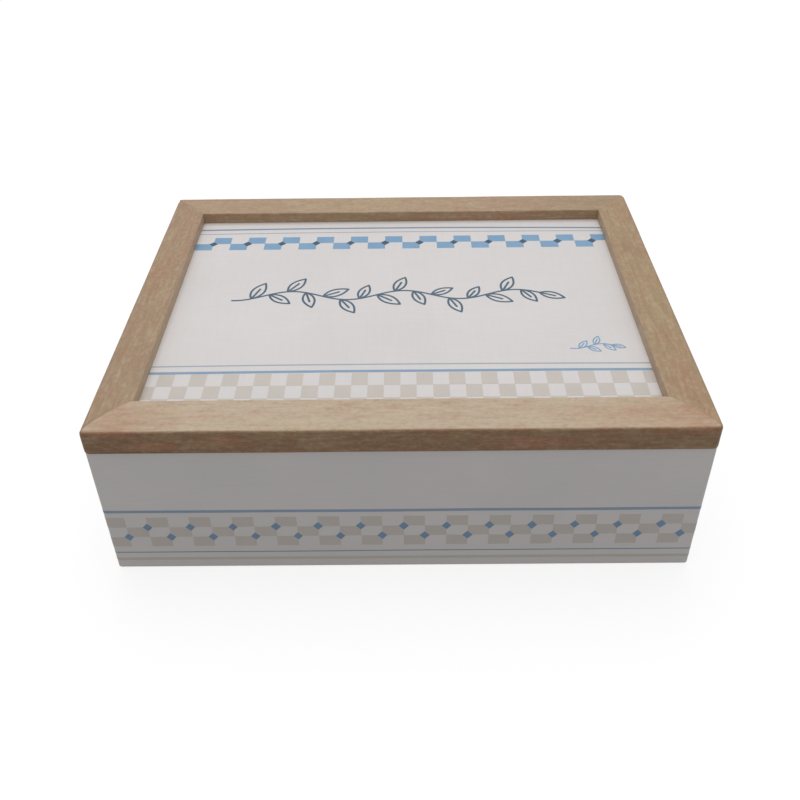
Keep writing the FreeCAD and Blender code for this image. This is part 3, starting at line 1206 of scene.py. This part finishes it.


# Each stick's tones: the top's, the outer face's, partly painted shade, and the inner wall's, painted light
# and shade
STICKS = {
    Side.FRONT: Stick(
        shade(190, 172, 150),
        shade(138, 108, 82),
        shade(180, 160, 138),
        0.11,
        red_patches=(
            Patch((-94.0, 0.0, 4.0), (16.0, 2.5, 4.0), 0.7),
            Patch((-66.0, 0.0, 6.5), (13.0, 2.5, 4.5), 0.6),
            Patch((52.0, 0.0, 4.5), (17.0, 2.5, 4.5), 0.7),
            Patch((-108.0, 8.0, 11.0), (34.0, 16.0, 6.0), 0.45),
            Patch((76.0, 8.0, 11.0), (30.0, 12.0, 6.0), 0.25),
            Patch((112.0, 8.0, 11.0), (40.0, 18.0, 6.0), 0.6),
        ),
        dark_and_shadow_patches=(
            # Darker towards both ends of the front face
            Patch((-118.0, 0.0, 5.0), (44.0, 3.0, 9.0), 0.16),
            Patch((118.0, 0.0, 5.0), (60.0, 3.0, 9.0), 0.16),
            # A painted shadow line along the foot of the front face, at its left end
            Patch((-108.0, 0.4, 0.0), (48.0, 3.0, 1.5), 2.6),
        ),
    ),
    Side.RIGHT: Stick(
        shade(160, 136, 106),
        shade(148, 122, 94),
        shade(172, 151, 128),
        0.47,
        dark_and_shadow_patches=(Patch((34.0, 8.0, 11.0), (20.0, 7.0, 5.0), 0.18),),
    ),
    Side.BACK: Stick(
        shade(168, 144, 119),
        shade(148, 122, 94),
        shade(155, 128, 99),
        0.83,
        dark_and_shadow_patches=(Patch((-112.0, 9.0, 11.0), (70.0, 22.0, 6.0), 0.26),),
    ),
    Side.LEFT: Stick(
        shade(158, 133, 108),
        shade(148, 121, 94),
        shade(172, 150, 127),
        1.29,
        red_patches=(Patch((-20.0, 6.0, 11.0), (26.0, 8.0, 5.0), 0.3),),
    ),
}


@dataclass
class LidFrame:
    """Four mitred rails round the board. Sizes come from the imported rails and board."""

    lip_ease: float = 0.7 * MM
    foot_ease: float = 0.8 * MM
    corner_radius: float = 2.6 * MM
    joint_gap: float = 0.012 * MM
    front_bow: float = 1.8 * MM
    back_bow: float = -0.5 * MM
    waver: float = 0.26 * MM
    strip: float = 1.2 * MM
    arc_steps: int = 5
    half_length: float = field(init=False)
    half_depth: float = field(init=False)
    widths: dict[Side, float] = field(init=False)
    foot: float = field(init=False)
    thickness: float = field(init=False)
    rebate_width: float = field(init=False)
    rebate_height: float = field(init=False)

    def __post_init__(self) -> None:
        """Read the rails' and the board's sizes."""
        low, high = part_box("lid_rail_front")
        side_low, side_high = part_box("lid_rail_right")
        back_low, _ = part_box("lid_rail_back")
        _, board_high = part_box("lid_board")
        self.half_length = side_high.x
        self.half_depth = -low.y
        side_width = side_high.x - side_low.x
        self.widths = {
            Side.FRONT: high.y - low.y,
            Side.RIGHT: side_width,
            Side.BACK: self.half_depth - back_low.y,
            Side.LEFT: side_width,
        }
        self.foot = low.z
        self.thickness = high.z - low.z
        self.rebate_width = board_high.x - side_low.x
        self.rebate_height = board_high.z - low.z

    def top_ease(self, side: Side) -> float:
        """Give how far a rail's outer top edge is sanded round: the ends more than the front."""
        eases = {Side.FRONT: 0.85, Side.RIGHT: 1.5, Side.BACK: 1.1, Side.LEFT: 2.5}
        return eases[side] * MM

    def strips(self, start: float, end: float) -> list[float]:
        """Cut a stretch of a section into even strips and give where each ends."""
        steps = math.ceil((end - start) / self.strip)
        return [start + (end - start) * step / steps for step in range(1, steps + 1)]

    def depths(self, side: Side) -> tuple[list[float], int]:
        """Choose how far in from the outer face the section's strips are cut.

        Args:
            side: The rail's side.

        Returns:
            The depths, closer together on the sanded edges, and the number of the rebate's depth.
        """
        width, ease = self.widths[side], self.top_ease(side)
        inner, lip = width - self.rebate_width, width - self.lip_ease
        quarter = math.pi / 2
        arc = [1 - math.cos(step / self.arc_steps * quarter) for step in range(self.arc_steps + 1)]
        found = [ease * share for share in arc] + self.strips(ease, inner)
        rebate = len(found) - 1
        found += self.strips(inner, lip)
        found += [width - self.lip_ease * share for share in reversed(arc[:-1])]
        return found, rebate

    def section(self, side: Side) -> bpy.types.Mesh:
        """Draw a rail's section in upright strips: outer face at 0, foot at 0, a rebate under the lip.

        Args:
            side: The rail's side.

        Returns:
            The flat section.
        """
        depths, rebate = self.depths(side)
        ease, lip = self.top_ease(side), self.lip_ease
        points, faces = [], []
        for depth in depths:
            sanded = (ease - depth) / ease
            worn = (depth - self.widths[side] + lip) / lip
            top = self.thickness - ease * (1 - dip(sanded)) - lip * (1 - dip(worn))
            foot = self.foot_ease * (1 - dip((self.foot_ease - depth) / self.foot_ease))
            points.append((depth, top, 0.0))
            points.append((depth, foot if depth <= depths[rebate] else self.rebate_height, 0.0))
        points.append((depths[rebate], self.rebate_height, 0.0))
        ledge = len(points) - 1
        for number in range(len(depths) - 1):
            top, foot, next_top, next_foot = (2 * number + step for step in range(4))
            if number + 1 == rebate:
                faces.append((top, foot, next_foot, ledge, next_top))
            else:
                faces.append((top, ledge if number == rebate else foot, next_foot, next_top))
        mesh = bpy.data.meshes.new("rail_section")
        mesh.from_pydata(points, [], faces)
        return mesh

    def bows(self, side: Side) -> tuple[float, float]:
        """Give how far a rail's joints bow out, or in where negative.

        Args:
            side: The rail's side.

        Returns:
            The bows of the left and the right joint.
        """
        front, back = self.front_bow, self.back_bow
        bows = {
            Side.FRONT: (front, front),
            Side.RIGHT: (-front, -back),
            Side.BACK: (back, back),
            Side.LEFT: (-back, -front),
        }
        return bows[side]

    def neighbours(self, side: Side) -> tuple[float, float]:
        """Give the widths of the rails that meet a rail's ends.

        Args:
            side: The rail's side.

        Returns:
            The widths at the left and the right end.
        """
        order = list(Side)
        place = order.index(side)
        return self.widths[order[place - 1]], self.widths[order[(place + 1) % len(order)]]

    def build(self) -> None:
        """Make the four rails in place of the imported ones."""
        tree = RailNet().draw()
        for number, side in enumerate(Side):
            name = side.name.lower()
            half, away = side.halves(self.half_length, self.half_depth)
            left_bow, right_bow = self.bows(side)
            left_neighbour, right_neighbour = self.neighbours(side)
            sizes = {
                "Half Length": half,
                "Width": self.widths[side],
                "Left Neighbour": left_neighbour,
                "Right Neighbour": right_neighbour,
                "Corner Radius": self.corner_radius,
                "Left Bow": left_bow,
                "Right Bow": right_bow,
                "Joint Gap": self.joint_gap,
                "Waver": self.waver,
                "Seed": number,
            }
            wood = RailWood(f"{name}_rail_wood", STICKS[side], self.widths[side])
            mesh = tree.grow(wood.material(), sizes, self.section(side))
            piece = settle(f"{name}_rail", [(mesh, side.place(away, self.foot))], "natural_wood")
            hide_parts(f"lid_rail_{name}")


class Jar(Enum):
    """An ink of the print: its tone where it lies full, and its tone where it lies thin."""

    BEIGE = ((197, 190, 183), (204, 198, 192))
    LIGHT_BLUE = ((120, 157, 190), (138, 170, 198))
    DEEP_BLUE = ((57, 82, 104), (76, 100, 121))
    LINE_BLUE = ((130, 156, 181), (144, 168, 190))
    FADED_BLUE = ((140, 158, 178), (154, 170, 187))
    FRONT_BLUE = ((118, 146, 174), (136, 160, 184))
    GREY_BLUE = ((124, 143, 162), (142, 158, 174))
    PALE_GREY = ((156, 165, 178), (170, 178, 189))
    SLATE = ((74, 95, 114), (92, 112, 129))

    def material(self) -> bpy.types.Material:
        """Make the ink's material."""
        return Ink(f"{self.name.lower()}_ink", *(shade(*tone) for tone in self.value)).material()


@dataclass(frozen=True)
class Face:
    """A face to print on: its half out to the row's end, its place, its flat half, its corners."""

    reach: float
    place: Matrix
    flat: float = 1.0
    corner_radius: float = 1.0 * MM


@dataclass
class Print:
    """What the board's and the carcass's prints share. Lengths without MM are in millimetres."""

    jars: dict[Jar, bpy.types.Material]
    stripe_net: ShapeNet
    block_net: ShapeNet
    diamond_net: ShapeNet

    slot: ClassVar[str]
    lift: ClassVar[float] = 0.05 * MM
    diamond_lift: ClassVar[float] = 0.08 * MM
    row_gap: ClassVar[float] = 0.03

    def row(
        self, net: ShapeNet, face: Face, jar: Jar, place: tuple[float, float], seed: int, sizes: Sizes
    ) -> Placed:
        """Print one row.

        Args:
            net: The tree of the row's kind.
            face: The face that it lies on.
            jar: Its ink.
            place: How far up the face its middle is, and how high it is, in millimetres.
            seed: What its unevenness is drawn from.
            sizes: The sizes that only its kind has.

        Returns:
            The row and its place.
        """
        shared = {
            "Half Length": face.reach,
            "Flat Half": face.flat,
            "Corner Radius": face.corner_radius,
            "Level": place[0] * MM,
            "Height": place[1] * MM,
            "Lift": self.diamond_lift if net is self.diamond_net else self.lift,
            "Seed": seed,
        }
        return net.grow(self.jars[jar], {**shared, **sizes}), face.place


@dataclass
class LidPrint(Print):
    """The board's print: stripes, a stepped band with diamonds, a check, and two drawn tea sprigs."""

    slot = "printed_board"
    tuck: float = 0.3 * MM
    stripe_wander: float = 0.4
    band_middle: float = 54.35
    band_height: float = 6.15
    band_block: float = 8.71
    band_start: float = 0.9
    band_count: int = 12
    diamond_size: tuple[float, float] = (4.3, 4.4)
    diamond_drop: float = 0.3
    check_back: float = -52.25
    check_depth: float = 7.87
    check_cell: float = 6.608
    check_start: float = -105.718
    check_count: int = 16
    face: Face = field(init=False)

    def __post_init__(self) -> None:
        """Read where the board's face is and how far it shows."""
        _, board_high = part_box("lid_board")
        rail_low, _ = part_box("lid_rail_right")
        self.face = Face(rail_low.x + self.tuck, Matrix.Translation((0.0, 0.0, board_high.z)))

    def stripes(self) -> None:
        """Print the four stripes that run across the board."""
        rows = (
            ("lid_stripe_grey_blue", Jar.GREY_BLUE, (67.85, 1.3), 1.4, -0.6),
            ("lid_stripe_pale", Jar.PALE_GREY, (64.1, 0.6), 1.0, -0.1),
            ("lid_stripe_thin", Jar.PALE_GREY, (-47.15, 0.66), 0.7, -0.1),
            ("lid_stripe_blue", Jar.LINE_BLUE, (-51.45, 1.5), 0.45, 0.0),
        )
        for seed, (name, jar, place, bow, tilt) in enumerate(rows):
            sizes = millimetres(bow=bow, tilt=tilt, wander=self.stripe_wander)
            settle(name, [self.row(self.stripe_net, self.face, jar, place, seed, sizes)], self.slot)

    def stepped_band(self) -> None:
        """Print two rows of blocks, each a half step from the other, with a diamond at each step."""
        block, height = self.band_block, self.band_height
        pitch = block * 2
        first = self.band_start - block * (self.band_count - 1)
        count = {"Count": self.band_count}
        rows = []
        for seed, way in enumerate((0.5, -0.5)):
            place = (self.band_middle + height * way, height - self.row_gap)
            sizes = millimetres(first=first - block * seed, pitch=pitch, block=block, uneven=0.08) | count
            rows.append(self.row(self.block_net, self.face, Jar.LIGHT_BLUE, place, 20 + seed, sizes))
        settle("lid_stepped_band", rows, self.slot)
        width, height = self.diamond_size
        sizes = millimetres(first=first, pitch=pitch, block=width, uneven=0.1) | count
        place = (self.band_middle - self.diamond_drop, height)
        row = self.row(self.diamond_net, self.face, Jar.DEEP_BLUE, place, 30, sizes)
        settle("lid_diamonds", [row], self.slot)

    def check(self) -> None:
        """Print the three rows of the check along the front."""
        cell, depth = self.check_cell, self.check_depth
        rows = []
        for number in range(3):
            first = self.check_start + cell * (1 - number % 2)
            place = (self.check_back - depth * (number + 0.5), depth - self.row_gap)
            sizes = millimetres(first=first, pitch=2 * cell, block=cell, uneven=0.06)
            sizes |= {"Count": self.check_count}
            rows.append(self.row(self.block_net, self.face, Jar.BEIGE, place, 40 + number, sizes))
        settle("lid_check", rows, self.slot)

    def sprigs(self) -> None:
        """Draw the long sprig across the middle and the small one in the corner."""
        tree = SprigNet().draw()
        long_stem = millimetres(half_length=71.0, rise=3.6, wave=52.0, pen=1.0)
        long_leaf = millimetres(leaf_length=12.5, leaf_breadth=5.2)
        long_own = {"Phase": 0.6, "Leaf Angle": 0.95, "Leaf Count": 18, "Seed": 3}
        small_stem = millimetres(half_length=9.0, rise=1.6, wave=24.0, pen=0.55)
        small_leaf = millimetres(leaf_length=6.0, leaf_breadth=2.6)
        small_own = {"Phase": 0.3, "Leaf Angle": 0.85, "Leaf Count": 6, "Seed": 8}
        sprigs = (
            ("lid_long_sprig", Jar.SLATE, (-6.5, 5.85), {**long_stem, **long_leaf, **long_own}),
            ("lid_small_sprig", Jar.LIGHT_BLUE, (81.3, -35.2), {**small_stem, **small_leaf, **small_own}),
        )
        for name, jar, (x, y), sizes in sprigs:
            mesh = tree.grow(self.jars[jar], {**sizes, "Lift": self.lift})
            place = self.face.place @ Matrix.Translation((x * MM, y * MM, 0.0))
            settle(name, [(mesh, place)], self.slot)

    def build(self) -> None:
        """Print the whole board."""
        self.stripes()
        self.stepped_band()
        self.check()
        self.sprigs()


@dataclass
class CarcassPrint(Print):
    """The band round the carcass: a blue line, three rows of blocks with diamonds, two foot lines."""

    slot = "painted_wood"
    corner_radius: float = 1.4 * MM
    pitch: float = 17.317
    start: float = 0.85
    row_top: float = 30.25
    row_height: float = 5.7
    stripe_wave: float = 90.0
    diamond_size: tuple[float, float] = (4.0, 4.5)
    diamond_drop: float = 0.05
    diamond_margin: float = 2.3
    faces: list[Face] = field(init=False)

    def __post_init__(self) -> None:
        """Read the carcass's size and set out its four faces, each with its rows upright."""
        low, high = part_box("carcass")
        upright = Matrix.Rotation(math.pi / 2, 4, "X")
        self.faces = []
        for side in Side:
            half, away = side.halves(high.x, -low.y)
            flat = half - self.corner_radius
            reach = flat + self.corner_radius * math.pi / 4
            self.faces.append(Face(reach, side.place(away) @ upright, flat, self.corner_radius))

    def stripes(self) -> None:
        """Print the lines that run round the carcass."""
        rows = (
            ("carcass_blue_line", Jar.FADED_BLUE, (33.5, 1.45), 0.9),
            ("carcass_thin_line", Jar.GREY_BLUE, (9.6, 0.5), 0.7),
            ("carcass_foot_stripe", Jar.BEIGE, (5.4, 1.6), 0.5),
        )
        for row, (name, jar, place, wander) in enumerate(rows):
            sizes = millimetres(wander=wander, wave=self.stripe_wave)
            parts = [
                self.row(self.stripe_net, face, jar, place, 10 * row + number, sizes)
                for number, face in enumerate(self.faces)
            ]
            settle(name, parts, self.slot)

    def blocks(self) -> None:
        """Print the three rows of blocks on every side, set like bricks."""
        parts = []
        pitch, block = self.pitch, self.pitch / 2
        for number, face in enumerate(self.faces):
            reach = face.reach / MM
            for row in range(3):
                middle = self.start + block * (row % 2)
                first = middle - math.floor((middle + block + reach) / pitch) * pitch
                count = math.ceil((reach - first) / pitch)
                place = (self.row_top - self.row_height * (row + 0.5), self.row_height - self.row_gap)
                sizes = millimetres(first=first, pitch=pitch, block=block, uneven=0.07) | {"Count": count}
                seed = 60 + 3 * number + row
                parts.append(self.row(self.block_net, face, Jar.BEIGE, place, seed, sizes))
        settle("carcass_blocks", parts, self.slot)

    def diamonds(self) -> None:
        """Print the diamonds where the rows of blocks meet."""
        parts = []
        width, height = self.diamond_size
        for number, face in enumerate(self.faces):
            room = (face.flat / MM - self.diamond_margin) / self.pitch
            for row in range(2):
                most = math.floor(room - row / 2)
                least = -most - row
                first = self.start + (least + row / 2) * self.pitch
                place = (self.row_top - self.row_height * (row + 1) - self.diamond_drop, height)
                sizes = millimetres(first=first, pitch=self.pitch, block=width, uneven=0.12)
                sizes |= {"Count": most - least + 1}
                seed = 80 + 2 * number + row
                parts.append(self.row(self.diamond_net, face, Jar.FRONT_BLUE, place, seed, sizes))
        settle("carcass_diamonds", parts, self.slot)

    def build(self) -> None:
        """Print all four sides."""
        self.stripes()
        self.blocks()
        self.diamonds()


@dataclass
class Carcass:
    """The painted carcass, its bottom board and the lid's board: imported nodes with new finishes."""

    paint_tones: tuple[Colour, ...] = (shade(217, 213, 211), shade(208, 205, 203), shade(186, 172, 154))
    linen_tones: tuple[Colour, ...] = (shade(218, 214, 213), shade(207, 204, 203))
    fibre_tones: tuple[Colour, ...] = (shade(150, 116, 84), shade(172, 138, 104), shade(108, 80, 56))

    def build(self) -> None:
        """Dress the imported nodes."""
        _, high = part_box("carcass")
        paint = EggshellPaint("eggshell_paint", *self.paint_tones, (high.x, high.y), high.z)
        dress("carcass", paint.material())
        dress("lid_board", LinenBoard("linen_board", *self.linen_tones).material())
        dress("base_board", FibreBoard("fibre_board", *self.fibre_tones).material())


@dataclass
class Hinges:
    """Both butt hinges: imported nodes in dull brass."""

    tones: tuple[Colour, ...] = (shade(186, 160, 110), shade(128, 104, 70))

    def build(self) -> None:
        """Dress every leaf and pin."""
        brass = DullBrass("dull_brass", *self.tones).material()
        for side in ("left", "right"):
            for part in ("lid_leaf", "carcass_leaf", "pin"):
                dress(f"hinge_{side}_{part}", brass)


@dataclass
class Studio:
    """The pale floor, the soft light and the camera, whose angles are in degrees.

    The eye, from which the camera looks, is in millimetres. The rest is in metres.
    """

    floor_reach: float = 6.0
    floor_gap: float = 0.1 * MM
    floor_tone: float = 0.3
    veil_tone: float = 0.25
    glow: float = 0.8
    ambient: float = 0.6
    key_power: float = 9.6
    key_place: Triple = (-0.05, 0.42, 1.45)
    key_size: tuple[float, float] = (1.3, 1.1)
    aim: Triple = (0.0, 0.0, 0.05)
    lens: float = 40.134
    lens_shift: float = -0.075
    eye: Triple = (3.16, -339.90, 298.54)
    pitch: float = 36.190
    yaw: float = -0.609
    roll: float = 0.890

    def light(self, net: Net, kind: str, tone: float, strength: float | None = None) -> Step:
        """Add a shader of an even grey, with a strength where it glows."""
        glow = {} if strength is None else {"Strength": strength}
        return net.node(kind, sockets={"Color": (tone, tone, tone, 1.0), **glow})

    def show(self, net: Net, real: Step, seen: Step) -> Step:
        """Choose between two shaders.

        Args:
            net: The tree.
            real: What gives light to the box.
            seen: What the background's rays see: straight, mirrored or through glass.

        Returns:
            The chosen shader.
        """
        path = net.node("ShaderNodeLightPath")
        is_seen = path.value("Is Camera Ray").at_least(path.value("Is Glossy Ray"))
        is_seen = is_seen.at_least(path.value("Is Transmission Ray"))
        return net.node("ShaderNodeMixShader", sockets={0: is_seen, 1: real, 2: seen})

    def floor(self) -> None:
        """Lay the floor: it looks white and keeps the box's shadow."""
        material = bpy.data.materials.new("pale_floor")
        net = Net(empty_tree(material))
        plain = self.light(net, "ShaderNodeBsdfDiffuse", self.floor_tone)
        veil = self.light(net, "ShaderNodeBsdfDiffuse", self.veil_tone)
        glow = self.light(net, "ShaderNodeEmission", 1.0, self.glow)
        seen = net.node("ShaderNodeAddShader", sockets={0: veil, 1: glow})
        net.node("ShaderNodeOutputMaterial", sockets={"Surface": self.show(net, plain, seen)})
        mesh = bpy.data.meshes.new("floor")
        ways = ((-1, -1), (1, -1), (1, 1), (-1, 1))
        corners = [(x * self.floor_reach, y * self.floor_reach, -self.floor_gap) for x, y in ways]
        mesh.from_pydata(corners, [], [(0, 1, 2, 3)])
        mesh.materials.append(material)
        stand("floor", mesh)

    def world(self) -> None:
        """Fill the room with even light, white where it is seen."""
        world = bpy.data.worlds.new("studio")
        bpy.context.scene.world = world
        net = Net(empty_tree(world))
        dim = self.light(net, "ShaderNodeBackground", 1.0, self.ambient)
        white = self.light(net, "ShaderNodeBackground", 1.0, 1.0)
        net.node("ShaderNodeOutputWorld", sockets={"Surface": self.show(net, dim, white)})

    def lamp(self) -> None:
        """Hang a soft lamp that points at the box."""
        light = bpy.data.lights.new("key", "AREA")
        light.shape = "RECTANGLE"
        light.size, light.size_y = self.key_size
        light.energy = self.key_power
        lamp = stand("key", light)
        lamp.location = self.key_place
        ahead = Vector(self.aim) - Vector(self.key_place)
        lamp.rotation_euler = ahead.to_track_quat("-Z", "Y").to_euler()

    def camera(self) -> None:
        """Set the camera up."""
        lens = bpy.data.cameras.new("camera")
        lens.sensor_width = 36.0
        lens.lens = self.lens
        lens.shift_y = self.lens_shift
        lens.clip_start = 0.01
        camera = stand("camera", lens)
        pitch, yaw, roll = (math.radians(angle) for angle in (self.pitch, self.yaw, self.roll))
        ahead = Vector((math.sin(yaw) * math.cos(pitch), math.cos(yaw) * math.cos(pitch), -math.sin(pitch)))
        level = Vector((math.cos(yaw), -math.sin(yaw), 0.0))
        below = ahead.cross(level)
        right = level * math.cos(roll) + below * math.sin(roll)
        up = right.cross(ahead)
        turn = Matrix((right, up, -ahead)).transposed().to_4x4()
        camera.matrix_world = Matrix.Translation(Vector(self.eye) * MM) @ turn
        bpy.context.scene.camera = camera

    def build(self) -> None:
        """Set the whole studio up."""
        bpy.context.scene.view_settings.view_transform = "Standard"
        self.floor()
        self.world()
        self.lamp()
        self.camera()


def main() -> None:
    """Build the box's pieces in order, then the studio."""
    logging.basicConfig(level=logging.INFO, format="%(name)s: %(message)s")
    jars = {jar: jar.material() for jar in Jar}
    trees = (stripe_tree(), block_tree(), diamond_tree())
    Carcass().build()
    LidFrame().build()
    LidPrint(jars, *trees).build()
    CarcassPrint(jars, *trees).build()
    Hinges().build()
    Studio().build()
    bpy.context.view_layer.update()


if __name__ == "__main__":
    main()
